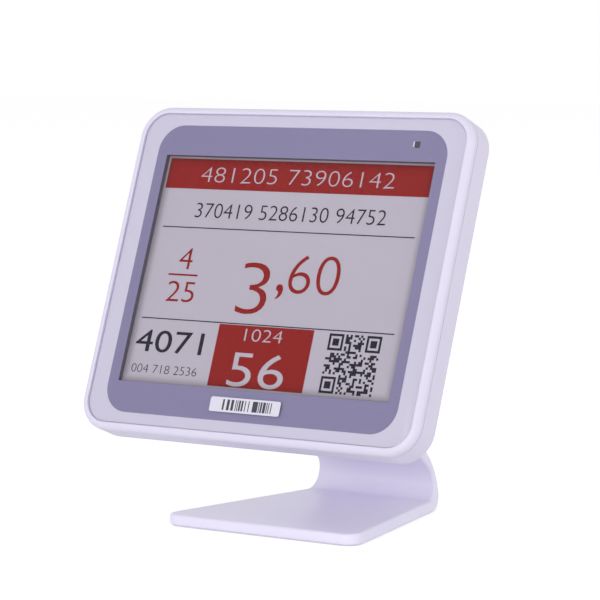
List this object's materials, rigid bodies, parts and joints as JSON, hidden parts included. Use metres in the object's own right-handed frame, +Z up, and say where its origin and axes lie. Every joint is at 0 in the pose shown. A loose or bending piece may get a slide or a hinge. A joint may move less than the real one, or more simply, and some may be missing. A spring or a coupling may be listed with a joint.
{
  "type": "electronic shelf label on a desk stand",
  "caption": "Tilted electronic paper price label with a rounded case, held by hooked rails on a one-piece curved desk stand, with a sliding battery door.",
  "frame": {"origin": "middle of the grip pad's underside, where the stand rests on the desk", "axes": "+Z up, +X to the right of someone reading the label, +Y to its back"},
  "size_m": [0.107, 0.073, 0.1127],
  "materials": {
    "stand_plastic": "moulded ABS, satin gloss",
    "case_plastic": "moulded ABS, fine satin",
    "pad_rubber": "foamed rubber sheet",
    "lens_clear": "clear acrylic, gloss",
    "border_ink": "pale screen print behind the lens",
    "mask_ink": "grey lilac screen print behind the lens",
    "tape": "double-sided tape",
    "gasket_foam": "dark foam",
    "display_face": "electronic paper film, matt",
    "display_glass": "thin glass",
    "chip_epoxy": "moulded epoxy",
    "flex_film": "polyimide film",
    "tray_plastic": "moulded plastic",
    "board_laminate": "glass-fibre laminate with solder mask",
    "ferrite": "ferrite and ceramic parts",
    "socket_plastic": "moulded plastic",
    "antenna_metal": "stamped metal",
    "light_body": "white lamp body",
    "light_guide_plastic": "smoked clear plastic",
    "screw_steel": "zinc-plated steel",
    "cell_steel": "stainless steel cans",
    "contact_metal": "nickel-plated spring steel",
    "sticker_paper": "coated white label"
  },
  "bodies": {
    "stand": {"stand": "stand_plastic", "grip_pad": "pad_rubber"},
    "label": {"rear_housing": "case_plastic", "front_frame": "case_plastic", "front_lens": "lens_clear", "border_print": "border_ink", "mask_print": "mask_ink", "lens_tape": "tape", "display_gasket": "gasket_foam", "display_film": "display_face", "display_glass": "display_glass", "display_driver": "chip_epoxy", "display_flex": "flex_film", "display_tray": "tray_plastic", "circuit_board": "board_laminate", "radio_chip": "chip_epoxy", "memory_chip": "chip_epoxy", "power_parts": "ferrite", "flex_connector": "socket_plastic", "antenna": "antenna_metal", "status_light": "light_body", "light_guide": "light_guide_plastic", "board_screws": "screw_steel", "coin_cells": "cell_steel", "positive_contacts": "contact_metal", "negative_contacts": "contact_metal", "barcode_sticker": "sticker_paper"},
    "door": {"battery_door": "case_plastic"}
  },
  "joints": [
    {"name": "label_slide", "type": "slide", "parent": "stand", "child": "label", "axis": [0, 0.3584, 0.9336], "range_m": [0, 0.027]},
    {"name": "door_slide", "type": "slide", "parent": "label", "child": "door", "axis": [0, -0.3584, -0.9336], "range_m": [0, 0.02]}
  ]
}
